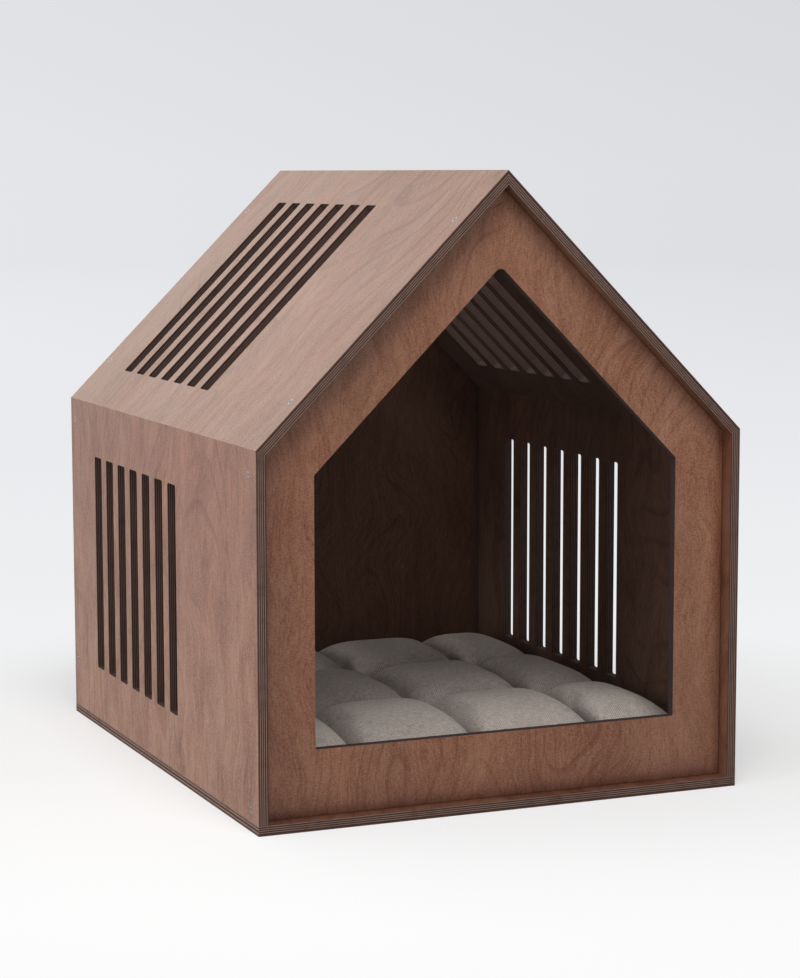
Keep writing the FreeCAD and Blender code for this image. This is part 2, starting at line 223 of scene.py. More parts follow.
# Painted light: the end panels are paler from one distance to the other along this direction, to the upper
# right, where the lamps light them more strongly.
CORNER_PAINTED_LIGHT = (1.18, 1.22, 1.25, 1.0)
CORNER_DIRECTION = (0.85, 0, 0.53)
CORNER_REACH = (0.28, 0.46)
# Painted light and shade: the walls are redder and darker towards the eaves and paler towards the floor,
# as the light falls on them.
EAVE_PAINTED_SHADE = (0.920, 0.800, 0.730, 1.0)
FOOT_PAINTED_LIGHT = (1.080, 1.140, 1.160, 1.0)
WALL_REACH = (0.08, 0.43)
# Painted shade: what is left of the colour in the cabin and on the strips of the shell before the end
# panels.
CABIN_SHADE = 0.34
WALL_RECESS_SHADE = 0.62
ROOF_RECESS_SHADE = 0.57

# Patterns in the veneer: rate along the grain and across it in features per metre, seed, detail and
# roughness.
LEAN = (7.0, 7.0, 0, 1.0, 0.5)
FIGURE = (2.3, 4.8, 3, 1.0, 0.3)
PRESENCE = (3.0, 7.0, 5, 1.0, 0.5)
MOTTLE = (6.0, 15.0, 7, 3.0, 0.6)
FLAME = (11.0, 62.0, 11, 3.0, 0.6)
FIBRE = (60.0, 640.0, 13, 2.0, 0.7)
CLOUD = (2.4, 4.5, 17, 1.0, 0.5)
SPECK = (190.0, 520.0, 19, 0.0, 0.5)
FLECK = (820.0, 300.0, 31, 1.0, 0.6)
STAIN_PATCH = (4.0, 9.0, 37, 2.0, 0.5)
# How far the figure leans off the grain, in metres.
LEAN_REACH = 0.09
# The rings of the figure, the strength of its lines, the weight of its flame and the spread of its
# streaks, on the end panels and on the shell, whose outer faces are seen aslant.
END_WOOD = {"rings": 34.0, "lines": 0.66, "flame": 0.80, "spread": 1.0}
SHELL_WOOD = {"rings": 20.0, "lines": 0.80, "flame": 1.35, "spread": 0.6}
ROOF_CALM = 0.75
MEAN_TONE = 0.58
MOTTLE_WEIGHT = 0.65
FIBRE_WEIGHT = 1.15
FLECK_WEIGHT = 1.30
CLOUD_WEIGHT = 0.50
# Late wood darkens over the first part of the end of a ring and ends sharply over the second.
LATE_WOOD_RISE = (0.70, 0.93)
LATE_WOOD_FALL = (0.93, 1.0)
FAINTEST_LINES = 0.15
SPECK_SHADE = 0.62
# The values of their patterns between which the lines, the red stain and the specks set in.
PRESENCE_REACH = (0.40, 0.60)
STAIN_PATCH_REACH = (0.30, 0.70)
SPECK_REACH = (0.80, 0.86)
# The gloss: the cabin, the mottle and the inner cut edges make it duller.
FACE_ROUGHNESS = 0.40
CABIN_ROUGHENING = 0.36
MOTTLE_ROUGHENING = 0.16
EDGE_ROUGHNESS = 0.90
CUT_ROUGHENING = 0.08
# The depth of late wood in the faces and of the pores in the edges, against that of the fibres, and
# the strength and distance of their relief.
LATE_WOOD_DEPTH = 0.20
PORE_DEPTH = 1.4
WOOD_RELIEF = (0.22, 0.35 * MM)

# Painted shade: the cut edges inside the slots and the doorway are darkened towards a dark colour, more
# than the outer edges.
INNER_CUT_SHADE = 0.45
DOOR_CUT_SHADE = 0.16
CUT_PAINTED_SHADE = (0.010, 0.002, 0.002, 1.0)
LAYER_DARK = srgb(58, 35, 27)
LAYER_LIGHT = srgb(142, 115, 102)
OUTER_LAYER = srgb(112, 80, 67)
OUTER_LAYER_DEPTH = 1.5
LAYER_WANDER = 0.5 * MM
# The values of their noise between which the pale layers fade, and the share of them that does.
LAYER_FADE_REACH = (0.45, 0.85)
LAYER_FADE = 0.6
# The pores darken and lighten an edge about the stain: the darkest shade and the range over it.
PORE_DARKEST = 0.75
PORE_RANGE = 0.5
# How far in from the front and the back of the shell a cut edge counts as an inner one.
OUTER_EDGE = 2 * MM
# Middles of the pale layers, in millimetres from the outer face.
WALL_LAYERS = (2.8, 5.2, 7.5, 10.1)
ROOF_LAYERS = (3.9, 6.3, 8.6, 11.2)
FLOOR_SIDE_LAYERS = (3.6, 8.1, 11.2)
# Half widths of the bright middle of a pale layer and of its fading sides, in millimetres.
THIN_LAYER = (0.16, 0.58)
BROAD_LAYER = (0.40, 1.05)

# Painted shade at the joints: a band that fades out, and a dark line along the joint itself.
BAND_REACH = 16 * MM
BAND_SHADE = 0.66
LINE_REACH = (0.5 * MM, 1.8 * MM)
LINE_SHADE = 0.60
# How much narrower both are under the roof than along the walls and the floor.
ROOF_NARROWING = 1.5
# A second band of painted shade on the end panels, above the floor panel.
FOOT_REACH = (6 * MM, 42 * MM)
FOOT_SHADE = 0.83
# How much of red, green and blue the painted shade and the joint line take, for each part of their depth.
PAINTED_SHADE_RATES = (1.0, 1.15, 1.22)

SLOPE = math.sqrt(0.5)
END_PANELS = ("front_panel", "back_panel")
# The cabin lies between the inner faces of the front and back panels.
front_low, front_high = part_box("front_panel")
cabin_front = front_high.y
cabin_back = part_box("back_panel")[0].y
# Each panel: outward direction, direction of the grain, pale layers.
PANELS = {
    "floor_panel": ((0, 0, -1), (0, 1, 0), ROOF_LAYERS),
    "left_wall_panel": ((-1, 0, 0), (0, 0, 1), WALL_LAYERS),
    "right_wall_panel": ((1, 0, 0), (0, 0, 1), WALL_LAYERS),
    "left_roof_panel": ((-SLOPE, 0, SLOPE), (SLOPE, 0, SLOPE), ROOF_LAYERS),
    "right_roof_panel": ((SLOPE, 0, SLOPE), (-SLOPE, 0, SLOPE), ROOF_LAYERS),
    "front_panel": ((0, -1, 0), (0, 0, 1), WALL_LAYERS),
    "back_panel": ((0, 1, 0), (0, 0, 1), WALL_LAYERS),
}


def layered_edge(graph, depth, layers, thickness, halves=THIN_LAYER):
    """The stain on a cut edge and its pores: thin pale layers, fading in and out, between dark ones."""
    place = graph.place.outputs["Object"]
    wander = graph.noise(place, scale=26.0, detail=2.0)
    wandering = graph.plus(depth, graph.times(graph.minus(wander, 0.5), LAYER_WANDER))
    share = graph.math("DIVIDE", wandering, thickness * MM)
    inner, outer = halves
    profile = ((-outer, LAYER_DARK), (-inner, LAYER_LIGHT), (inner, LAYER_LIGHT), (outer, LAYER_DARK))
    stops = [(0.0, OUTER_LAYER), (OUTER_LAYER_DEPTH / thickness, LAYER_DARK)]
    for middle in layers:
        for across, colour in profile:
            stops.append((min((middle + across) / thickness, 1.0), colour))
    bands = graph.ramp(share, stops)
    patches = graph.noise(place, scale=60.0, detail=3.0, roughness=0.6)
    pores = graph.noise(place, scale=900.0, detail=2.0, roughness=0.7)
    faded = graph.mix(graph.step(patches, *LAYER_FADE_REACH, 0.0, LAYER_FADE), bands, LAYER_DARK)
    shade = graph.plus(graph.times(pores, PORE_RANGE), PORE_DARKEST)
    return graph.stained(faded, graph.grey(shade)), pores


def painted_joint_shade_and_line(graph, gap):
    """What the painted shade and the dark line at a joint leave of the colour, at a gap from the joint."""
    band = graph.step(gap, 0.0, BAND_REACH, BAND_SHADE, 1.0)
    line = graph.step(gap, *LINE_REACH, LINE_SHADE, 1.0)
    return graph.times(band, line)


def end_panel_shade(graph, place):
    """The painted shade of an end panel along the walls, the roof and the floor, with a dark line along
    each joint.
    """
    across = graph.math("ABSOLUTE", graph.dot(place, X_AXIS))
    rise = graph.dot(place, Z_AXIS)
    under_roof = graph.minus(graph.minus(front_high.z, rise), across)
    under_roof = graph.times(under_roof, SLOPE * ROOF_NARROWING)
    foot = graph.minus(rise, front_low.z)
    gap = graph.math("MINIMUM", graph.minus(front_high.x, across), foot)
    gap = graph.math("MINIMUM", gap, under_roof)
    return graph.times(painted_joint_shade_and_line(graph, gap), graph.step(foot, *FOOT_REACH, FOOT_SHADE, 1.0))


def shell_shade(graph, node, place, inner_side):
    """The painted shade of the shell's inner faces along the end panels and on the strips before them."""
    along_house = graph.math("ABSOLUTE", graph.dot(place, Y_AXIS))
    gap = graph.math("ABSOLUTE", graph.minus(along_house, -front_low.y))
    recess_shade = ROOF_RECESS_SHADE if "roof" in node else WALL_RECESS_SHADE
    recessed = graph.math("GREATER_THAN", along_house, -front_low.y)
    recess = graph.minus(1.0, graph.times(recessed, 1 - recess_shade))
    shade = graph.times(painted_joint_shade_and_line(graph, gap), recess)
    inward = graph.math("GREATER_THAN", graph.dot(graph.place.outputs["Normal"], inner_side), FACING)
    return graph.plus(1.0, graph.times(inward, graph.minus(shade, 1.0)))


def veneer_face(graph, node, outward, grain, seed):
    """The veneer of one panel, as (colour, lines of its figure, fibres, mottle). Up is along the grain."""
    place = graph.place.outputs["Object"]
    up = graph.dot(place, grain)
    over = graph.dot(place, outward.cross(grain))
    wood = END_WOOD if node in END_PANELS else SHELL_WOOD
    calm = ROOF_CALM if "roof" in node else 1.0

    def pattern(kind, aside=over, spread=1.0):
        along_rate, across_rate, shift, detail, roughness = kind
        spot = graph.combine(
            graph.times(up, along_rate), graph.times(aside, across_rate * spread), float(shift + seed)
        )
        return graph.noise(spot, detail=detail, roughness=roughness)

    lean = graph.times(graph.minus(pattern(LEAN), 0.5), LEAN_REACH)
    leaning = graph.plus(over, lean)
    rings = graph.math("FRACT", graph.times(pattern(FIGURE, leaning), wood["rings"]))
    late_wood = graph.minus(graph.step(rings, *LATE_WOOD_RISE), graph.step(rings, *LATE_WOOD_FALL))
    presence = graph.step(pattern(PRESENCE), *PRESENCE_REACH, FAINTEST_LINES, 1.0)
    lines = graph.times(late_wood, presence)
    mottle = pattern(MOTTLE)
    flame = pattern(FLAME, leaning, wood["spread"])
    fibre = pattern(FIBRE, leaning, wood["spread"])
    tone = MEAN_TONE
    for part, weight in (
        (mottle, MOTTLE_WEIGHT),
        (flame, wood["flame"] * calm),
        (fibre, FIBRE_WEIGHT * calm),
        (pattern(FLECK), FLECK_WEIGHT),
        (pattern(CLOUD), CLOUD_WEIGHT),
    ):
        tone = graph.plus(tone, graph.times(graph.minus(part, 0.5), weight))

    veneer = graph.mix(graph.math("MAXIMUM", tone, 0.0), VENEER_DARK, VENEER_LIGHT)
    lined = graph.stained(veneer, LATE_WOOD)
    veneer = graph.mix(graph.times(lines, wood["lines"]), veneer, lined)
    patches = graph.step(pattern(STAIN_PATCH), *STAIN_PATCH_REACH)
    veneer = graph.stained(veneer, graph.mix(patches, BROWN_STAIN, RED_STAIN))
    if "roof" in node:
        veneer = graph.stained(veneer, ROOF_STAIN)
    if "wall" in node:
        # Painted shade towards the eaves and painted light towards the floor.
        eaves = graph.step(up, *WALL_REACH)
        veneer = graph.stained(veneer, graph.mix(eaves, FOOT_PAINTED_LIGHT, EAVE_PAINTED_SHADE))
    if node in END_PANELS:
        veneer = graph.stained(veneer, END_STAIN)
        # Painted light, paler towards the upper right.
        corner = graph.step(graph.dot(place, CORNER_DIRECTION), *CORNER_REACH)
        veneer = graph.stained(veneer, graph.mix(corner, WHITE, CORNER_PAINTED_LIGHT))
    speck = graph.step(pattern(SPECK), *SPECK_REACH, 1.0, SPECK_SHADE)
    return graph.stained(veneer, graph.grey(speck)), lines, fibre, mottle


def plywood(node, outward, grain, layers, seed):
    """Stained plywood whose face and layers follow one panel."""
    outward, grain = Vector(outward), Vector(grain)
    reach = [outward.dot(vertex.co) for vertex in nodes[node].data.vertices]
    thickness = (max(reach) - min(reach)) / MM
    material, graph = new_material(f"stained_plywood_{node}")
    place, facing = graph.place.outputs["Object"], graph.place.outputs["Normal"]
    depth = graph.minus(max(reach), graph.dot(place, outward))
    outwardness = graph.dot(facing, outward)
    on_edge = graph.math("LESS_THAN", graph.math("ABSOLUTE", outwardness), FACING)
    along_house = graph.dot(place, Y_AXIS)
    in_cabin = graph.math("LESS_THAN", outwardness, -FACING)
    in_cabin = graph.times(in_cabin, graph.math("GREATER_THAN", along_house, cabin_front - MM))
    in_cabin = graph.times(in_cabin, graph.math("LESS_THAN", along_house, cabin_back + MM))

    edge, pores = layered_edge(graph, depth, layers, thickness)
    if node == "floor_panel":
        side_edge, _ = layered_edge(graph, depth, FLOOR_SIDE_LAYERS, thickness, BROAD_LAYER)
        facing_side = graph.math("ABSOLUTE", graph.dot(facing, X_AXIS))
        edge = graph.mix(graph.math("GREATER_THAN", facing_side, FACING), edge, side_edge)
        inner_cut = 0.0
    else:
        from_middle = graph.math("ABSOLUTE", along_house)
        inner_cut = graph.math("LESS_THAN", from_middle, cad_high.y - OUTER_EDGE)
    # Painted shade: the cut edges inside the slots and the doorway are darkened.
    cut_shade = DOOR_CUT_SHADE if node == "front_panel" else INNER_CUT_SHADE
    edge = graph.mix(graph.times(inner_cut, 1 - cut_shade), edge, CUT_PAINTED_SHADE)

    veneer, lines, fibre, mottle = veneer_face(graph, node, outward, grain, seed)
    # Painted shade on the cabin's inner faces.
    shade = graph.minus(1.0, graph.times(in_cabin, 1 - CABIN_SHADE))
    veneer = graph.stained(veneer, graph.grey(shade))
    # Painted shade along the joints and on the recessed strips, with a dark line along each joint.
    if node in END_PANELS:
        joints = end_panel_shade(graph, place)
    else:
        joints = shell_shade(graph, node, place, -outward)
    painted_shade_and_line = graph.minus(1.0, joints)
    left = [graph.minus(1.0, graph.times(painted_shade_and_line, rate)) for rate in PAINTED_SHADE_RATES]
    veneer = graph.stained(veneer, graph.combine(*left))

    colour = graph.mix(on_edge, veneer, edge)
    face_roughness = graph.plus(FACE_ROUGHNESS, graph.times(in_cabin, CABIN_ROUGHENING))
    face_roughness = graph.plus(graph.times(mottle, MOTTLE_ROUGHENING), face_roughness)
    edge_roughness = graph.plus(EDGE_ROUGHNESS, graph.times(inner_cut, CUT_ROUGHENING))
    roughness = graph.math("MAXIMUM", face_roughness, graph.times(on_edge, edge_roughness))
    relief = graph.minus(fibre, graph.times(lines, LATE_WOOD_DEPTH))
    face_height = graph.times(relief, graph.minus(1.0, on_edge))
    height = graph.plus(face_height, graph.times(pores, graph.times(on_edge, PORE_DEPTH)))
    surface(graph, colour, roughness, graph.bump(height, *WOOD_RELIEF), IOR=1.5)
    return material


SEED_STEP = 23.7
for number, (node, (outward, grain, layers)) in enumerate(PANELS.items(), start=1):
    cover(nodes[node], plywood(node, outward, grain, layers, SEED_STEP * number))


# Screws: colours of the plate, and of the painted shade in the middle of each head and deeper in its
# recess.
ZINC_DARK = srgb(120, 126, 132)
ZINC_LIGHT = srgb(176, 180, 182)
HEAD_MIDDLE_SHADE = srgb(70, 68, 68)
RECESS_PAINTED_SHADE = srgb(30, 28, 28)
# The distances from the axis between which the painted shade of the middle fades, and the depths under the
# rim between which the painted shade of the recess sets in.
MIDDLE_REACH = (1.5 * MM, 2.6 * MM)
RECESS_SHADE_REACH = (0.02 * MM, 0.2 * MM)
# The gloss of the plate, and the strength and distance of its grain's relief.
ZINC_ROUGHNESS = 0.38
PATCH_ROUGHENING = 0.22
ZINC_RELIEF = (0.12, 0.05 * MM)
# Points this near to the highest one lie on a rim, and rims this far apart are two heads.
RIM_DEPTH = 0.01 * MM
HEAD_SPACING = 10 * MM


def head_middles(node, outward, top):
    """The middle of each screw head of a node, found from the points on its rim."""
    rims = []
    for vertex in nodes[node].data.vertices:
        if outward.dot(vertex.co) > top - RIM_DEPTH:
            rim = next((found for found in rims if (found[0] - vertex.co).length < HEAD_SPACING), None)
            if rim is None:
                rims.append([vertex.co])
            else:
                rim.append(vertex.co)
    middles = []
    for rim in rims:
        low = [min(point[axis] for point in rim) for axis in range(3)]
        high = [max(point[axis] for point in rim) for axis in range(3)]
        middles.append((Vector(low) + Vector(high)) / 2)
    return middles


def zinc(node, outward):
    """Bright zinc plate with a fine grain, and painted shade in the middle and the recess of each head."""
    outward = Vector(outward)
    top = max(outward.dot(vertex.co) for vertex in nodes[node].data.vertices)
    material, graph = new_material(f"zinc_plated_steel_{node}")
    place = graph.place.outputs["Object"]
    depth = graph.minus(top, graph.dot(place, outward))
    from_axis = 1.0
    for middle in head_middles(node, outward, top):
        apart = graph.add("VectorMath", operation="DISTANCE")
        graph.join(place, apart.inputs[0])
        graph.join(tuple(middle), apart.inputs[1])
        from_axis = graph.math("MINIMUM", from_axis, apart.outputs["Value"])
    fine = graph.noise(place, scale=2600.0, detail=2.0)
    patch = graph.noise(place, scale=420.0, detail=2.0)
    colour = graph.mix(patch, ZINC_DARK, ZINC_LIGHT)
    # Painted shade in the middle of each head and in its recess.
    colour = graph.mix(graph.step(from_axis, *MIDDLE_REACH), HEAD_MIDDLE_SHADE, colour)
    colour = graph.mix(graph.step(depth, *RECESS_SHADE_REACH), colour, RECESS_PAINTED_SHADE)
    roughness = graph.plus(ZINC_ROUGHNESS, graph.times(patch, PATCH_ROUGHENING))
    surface(graph, colour, roughness, graph.bump(fine, *ZINC_RELIEF), Metallic=1.0)
    return material


for node in nodes:
    if node.endswith("_screws"):
        cover(nodes[node], zinc(node, PANELS[node.replace("_screws", "_panel")][0]))


# The cushion: a quilted case over loose filling. Lengths are in metres.
cushion_low, cushion_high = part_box("cushion")
COLUMN_PITCH = 0.162
# The long seams lie this far to the right of the middle.
SEAM_SHIFT = 0.011
ROW_PITCH = 0.204
SEAM_DRAW = 0.009
RIM_TUCK = 0.004
FOOT_TUCK = 0.007
SEAM_HEIGHT = 0.030
RIM_HEIGHT = 0.036
TUFT_HEIGHT = 0.080
STEPS_PER_TUFT = 24
SIDE_STEPS = 6
# Across a tuft its height is (1 - distance ** power) ** root, where the distance is 1 at a seam.
SEAM_POWER = 5.0
SEAM_ROOT = 0.50
RIM_POWER = 2.2
RIM_ROOT = 0.55
# Within this distance of the side the seams rise to the height of the rim.
RIM_BLEND = 0.05
# The power with which the drawing in of the sides fades towards the middle.
DRAW_FADE = 6
# The share of the half width or length from which a point belongs to the side.
SIDE_SHARE = 0.99
# Frames of stuffing, and the most that it moves a point.
FILL_FRAMES = 16
MOST_SHIFT = 0.007

column_seams = [
    cushion_low.x, SEAM_SHIFT - COLUMN_PITCH, SEAM_SHIFT, SEAM_SHIFT + COLUMN_PITCH, cushion_high.x
]
row_middle = (cushion_low.y + cushion_high.y) / 2
row_seams = [cushion_low.y, row_middle - ROW_PITCH / 2, row_middle + ROW_PITCH / 2, cushion_high.y]


def stations(seams):
    """Places along one side, closest near the seams: (place, share of its tuft, side of its rim)."""
    found = []
    for start, end in zip(seams[:-1], seams[1:]):
        rim = (end == seams[-1]) - (start == seams[0])
        for index in range(STEPS_PER_TUFT):
            even = index / STEPS_PER_TUFT
            share = 0.5 * even + 0.25 * (1 - math.cos(math.pi * even))
            found.append((start + (end - start) * share, share, rim))
    found.append((seams[-1], 1.0, 1))
    return found


def crown(share, rim=0):
    """Height across a tuft, from 0 at its seams to 1 over a broad top, rounder on the side of a rim."""
    across = 2 * share - 1
    if across * rim > 0:
        return (1 - abs(across) ** RIM_POWER) ** RIM_ROOT
    return (1 - abs(across) ** SEAM_POWER) ** SEAM_ROOT


def cushion_mesh():
    """The case before it is stuffed, as (vertices, faces, indices that stay put)."""
    columns, rows = stations(column_seams), stations(row_seams)
    width, length = len(columns), len(rows)
    centre = Vector(((column_seams[0] + column_seams[-1]) / 2, row_middle, 0))
    half_width = (column_seams[-1] - column_seams[0]) / 2
    half_length = (row_seams[-1] - row_seams[0]) / 2
    floor = cushion_low.z

    def plan(across, along, across_share, along_share, tuck):
        """A point of the plan, drawn in towards the middle where a seam meets the side."""
        out_x, out_y = (across - centre.x) / half_width, (along - centre.y) / half_length
        draw_x = SEAM_DRAW * (1 - crown(along_share)) * (0 < along_share < 1 or abs(out_y) < SIDE_SHARE)
        draw_y = SEAM_DRAW * (1 - crown(across_share)) * (0 < across_share < 1 or abs(out_x) < SIDE_SHARE)
        x = centre.x + (across - centre.x) * (1 - (draw_x * abs(out_x) ** DRAW_FADE + tuck) / half_width)
        y = centre.y + (along - centre.y) * (1 - (draw_y * abs(out_y) ** DRAW_FADE + tuck) / half_length)
        return x, y

    vertices, held = [], []
    for along, along_share, end_rim in rows:
        for across, across_share, side_rim in columns:
            x, y = plan(across, along, across_share, along_share, RIM_TUCK)
            rise_x, rise_y = crown(across_share, side_rim), crown(along_share, end_rim)
            edge = across in (column_seams[0], column_seams[-1]) or along in (row_seams[0], row_seams[-1])
            inward = min(
                across - column_seams[0],
                column_seams[-1] - across,
                along - row_seams[0],
                row_seams[-1] - along,
            )
            base = RIM_HEIGHT + (SEAM_HEIGHT - RIM_HEIGHT) * min(inward / RIM_BLEND, 1.0)
            height = base + (TUFT_HEIGHT - base) * rise_x * rise_y
            if not edge and (across_share in (0.0, 1.0) or along_share in (0.0, 1.0)):
                held.append(len(vertices))
            vertices.append((x, y, floor + height))
    faces = []

    def band(upper, lower):
        """Joins two rings of points around the side by faces."""
        for index in range(len(upper)):
            following = (index + 1) % len(upper)
            faces.append((upper[following], upper[index], lower[index], lower[following]))

    for j in range(length - 1):
        for i in range(width - 1):
            corner = j * width + i
            faces.append((corner, corner + 1, corner + width + 1, corner + width))
    rim = [(i, 0) for i in range(width - 1)] + [(width - 1, j) for j in range(length - 1)]
    rim += [(i, length - 1) for i in range(width - 1, 0, -1)] + [(0, j) for j in range(length - 1, 0, -1)]
    ring = [j * width + i for i, j in rim]
    for level in range(1, SIDE_STEPS):
        turn = level / SIDE_STEPS
        bulge = 1 - (2 * turn - 1) ** 2
        tuck = (RIM_TUCK * (1 - turn) + FOOT_TUCK * turn) * (1 - bulge)
        lower = []
        for i, j in rim:
            x, y = plan(columns[i][0], rows[j][0], columns[i][1], rows[j][1], tuck)
            lower.append(len(vertices))
            vertices.append((x, y, floor + RIM_HEIGHT * (1 - turn)))
        band(ring, lower)
        ring = lower
    underside = {}
    for j, (along, along_share, _) in enumerate(rows):
        for i, (across, across_share, _) in enumerate(columns):
            x, y = plan(across, along, across_share, along_share, FOOT_TUCK)
            underside[i, j] = len(vertices)
            held.append(len(vertices))
            vertices.append((x, y, floor))
    for j in range(length - 1):
        for i in range(width - 1):
            corners = ((i, j), (i, j + 1), (i + 1, j + 1), (i + 1, j))
            faces.append(tuple(underside[corner] for corner in corners))
    band(ring, [underside[place] for place in rim])
    return vertices, faces, held


def stuff(piece, held):
    """Fills the case with air under pressure, with its seams and underside held."""
    group = piece.vertex_groups.new(name="held")
    group.add(held, 1.0, "ADD")
    cloth = piece.modifiers.new("Cloth", "CLOTH")
    settings = cloth.settings
    settings.quality = 6
    settings.mass = 0.25
    settings.tension_stiffness = 18
    settings.compression_stiffness = 12
    settings.bending_stiffness = 0.6
    settings.use_pressure = True
    settings.uniform_pressure_force = 1.2
    settings.effector_weights.gravity = 0.0
    settings.vertex_group_mass = "held"
    settings.shrink_min = -0.012
    cloth.point_cache.frame_start = 1
    cloth.point_cache.frame_end = FILL_FRAMES
    before = [vertex.co.copy() for vertex in piece.data.vertices]
    for number in range(1, FILL_FRAMES + 1):
        scene.frame_set(number)
    evaluated = piece.evaluated_get(bpy.context.evaluated_depsgraph_get())
    moved = [vertex.co.copy() for vertex in evaluated.data.vertices]
    piece.modifiers.remove(cloth)
    scene.frame_set(1)
    for vertex, start, end in zip(piece.data.vertices, before, moved):
        shift = end - start
        if shift.length > MOST_SHIFT:
            shift *= MOST_SHIFT / shift.length
        place = start + shift
        place.x = min(max(place.x, cushion_low.x), cushion_high.x)
        place.y = min(max(place.y, cushion_low.y), cushion_high.y)
        place.z = min(max(place.z, cushion_low.z), cushion_high.z)
        vertex.co = place


# Linen: the axes that it is woven along, the pitch of its weave, its slubs and its colours, and the
# width of the painted shade in the creases at the seams and what it leaves of the colour.
AXES = (X_AXIS, Y_AXIS, Z_AXIS)
WEAVE_PITCH = 3.3 * MM
SLUB_RATES = ((90.0, 700.0), (700.0, 90.0))
LINEN_DARK = srgb(122, 111, 103)
LINEN_LIGHT = srgb(212, 201, 192)
LONG_CREASE_WIDTH = 9 * MM
LONG_CREASE_SHADE = 0.28
CROSS_CREASE_WIDTH = 13 * MM
CROSS_CREASE_SHADE = 0.50
# The shares of an axis in the normal between which the weave across that axis sets in.
WEAVE_FACING = (0.55, 0.80)
# How much of the height and of the tone is the weave, next to the slubs.
WEAVE_HEIGHT = 0.35
WEAVE_TONE = 0.40
# How strongly the weave with its slubs and the soft patches change the tone.
THREAD_CONTRAST = 0.9
SOFT_CONTRAST = 0.3
LINEN_ROUGHNESS = 0.80
SOFT_ROUGHENING = 0.15
# The strength and distance of the threads' relief.
LINEN_RELIEF = (0.7, 0.5 * MM)


def linen():
    """Grey beige linen: a plain weave seen along whichever axis the surface faces."""
    material, graph = new_material("linen_weave")
    place = graph.place.outputs["Object"]
    normal = graph.place.outputs["Normal"]
    axes = [graph.dot(place, axis) for axis in AXES]
    facing = [graph.math("ABSOLUTE", graph.dot(normal, axis)) for axis in AXES]
    total_height, total_tone = 0.0, 0.0
    for first, second, third in ((0, 1, 2), (1, 2, 0), (2, 0, 1)):
        weight = graph.step(facing[third], *WEAVE_FACING)
        waves = [
            graph.math("SINE", graph.times(axes[which], 2 * math.pi / WEAVE_PITCH))
            for which in (first, second)
        ]
        weave = graph.times(waves[0], waves[1])
        slubs = [
            graph.noise(
                graph.combine(
                    graph.times(axes[first], rate), graph.times(axes[second], other), float(third)
                ),
                detail=2.0,
                roughness=0.6,
            )
            for rate, other in SLUB_RATES
        ]
        threads = graph.plus(slubs[0], slubs[1])
        height = graph.plus(graph.times(weave, WEAVE_HEIGHT), threads)
        tone = graph.plus(graph.times(weave, WEAVE_TONE), graph.minus(threads, 1.0))
        total_height = graph.plus(total_height, graph.times(weight, height))
        total_tone = graph.plus(total_tone, graph.times(weight, tone))
    soft = graph.noise(place, scale=14.0, detail=2.0)
    tone = graph.plus(0.5, graph.times(total_tone, THREAD_CONTRAST))
    tone = graph.plus(tone, graph.times(graph.minus(soft, 0.5), SOFT_CONTRAST))
    colour = graph.mix(graph.math("MAXIMUM", tone, 0.0), LINEN_DARK, LINEN_LIGHT)
    across = graph.math("ABSOLUTE", graph.minus(axes[0], SEAM_SHIFT))
    long_seam = graph.math("MINIMUM", across, graph.math("ABSOLUTE", graph.minus(across, COLUMN_PITCH)))
    cross_seam = graph.math("ABSOLUTE", graph.minus(axes[1], row_middle))
    cross_seam = graph.math("ABSOLUTE", graph.minus(cross_seam, ROW_PITCH / 2))
    # Painted shade in the creases along the seams.
    painted_crease_shade = graph.times(
        graph.step(long_seam, 0.0, LONG_CREASE_WIDTH, LONG_CREASE_SHADE, 1.0),
        graph.step(cross_seam, 0.0, CROSS_CREASE_WIDTH, CROSS_CREASE_SHADE, 1.0),
    )
    colour = graph.stained(colour, graph.grey(painted_crease_shade))
    roughness = graph.plus(LINEN_ROUGHNESS, graph.times(soft, SOFT_ROUGHENING))
    relief = graph.bump(total_height, *LINEN_RELIEF)
    surface(graph, colour, roughness, relief, Sheen_Weight=0.06, Sheen_Roughness=0.5)
    return material


vertices, faces, held = cushion_mesh()
mesh = bpy.data.meshes.new("quilted_cushion")
mesh.from_pydata(vertices, [], faces)
mesh.validate()
cushion = bpy.data.objects.new("quilted_cushion", mesh)
scene.collection.objects.link(cushion)
stuff(cushion, held)
for polygon in mesh.polygons:
    polygon.use_smooth = True
smoothing = cushion.modifiers.new("Subdivision", "SUBSURF")
smoothing.levels = 1
smoothing.render_levels = 1
cover(cushion, linen())
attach(cushion, "cushion")
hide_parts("cushion")


# The floor, which is plain and pale, and fades to the grey of the far background. The studio light
# on it falls off towards the back, over 20 metres from 2 metres in front.
FLOOR_REACH = 60.0
AWAY = (0.39, 0.92, 0.0)
FALL_START = 2.0
FALL_LENGTH = 20.0
FLOOR_COLOURS = (
    (0.0, srgb(252, 252, 252)),
    (1.0, srgb(225, 226, 229)),
    (0.058, srgb(251, 251, 251)),
    (0.095, srgb(245, 245, 245)),
    (0.135, srgb(241, 242, 243)),
    (0.16, srgb(238, 239, 241)),
    (0.28, srgb(233, 234, 237)),
    (0.52, srgb(229, 231, 234)),
)
# The background over the floor, by its height.
BACKGROUND_COLOURS = (
    (0.0, srgb(225, 226, 229)),
    (1.0, srgb(214, 215, 219)),
    (0.06, srgb(221, 222, 225)),
)
# The far background darkens from left to right, as seen from a little before the start of the fall.
SIDEWAYS = (0.92, -0.39, 0.0)
SIDE_FALL = 0.24
SEEN_FROM = 1.3
FAR_REACH = (3.0, 12.0)
# Near the object a share of the floor's colour is lit by the lamps, so that it takes the shadow.
FLOOR_SHARE = 0.52
LIT_REACH = (0.45, 1.1)
LIT_GAIN = 1.09
